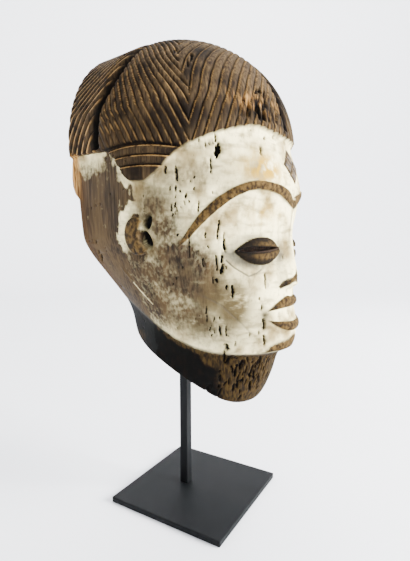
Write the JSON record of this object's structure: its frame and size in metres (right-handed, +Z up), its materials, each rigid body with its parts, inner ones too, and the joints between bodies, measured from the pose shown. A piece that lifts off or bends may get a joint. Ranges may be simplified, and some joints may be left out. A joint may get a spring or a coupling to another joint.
{
  "type": "punu mask",
  "caption": "Carved wooden face mask, hollow and open at the back, with a grooved lobed coiffure and a dark collar, held on a slim square rod over a square steel foot.",
  "frame": {"origin": "middle of the stand foot's underside", "axes": "+Z up; the mask looks towards -Y, and +X is to the right of someone who looks at its face"},
  "size_m": [0.1766, 0.1608, 0.396],
  "materials": {
    "carved_wood": "white kaolin worn off brown wood, blackened collar and coiffure",
    "stand_steel": "satin charcoal"
  },
  "bodies": {
    "root": {"mask": "carved_wood", "stand_rod": "stand_steel", "stand_foot": "stand_steel"}
  },
  "joints": []
}
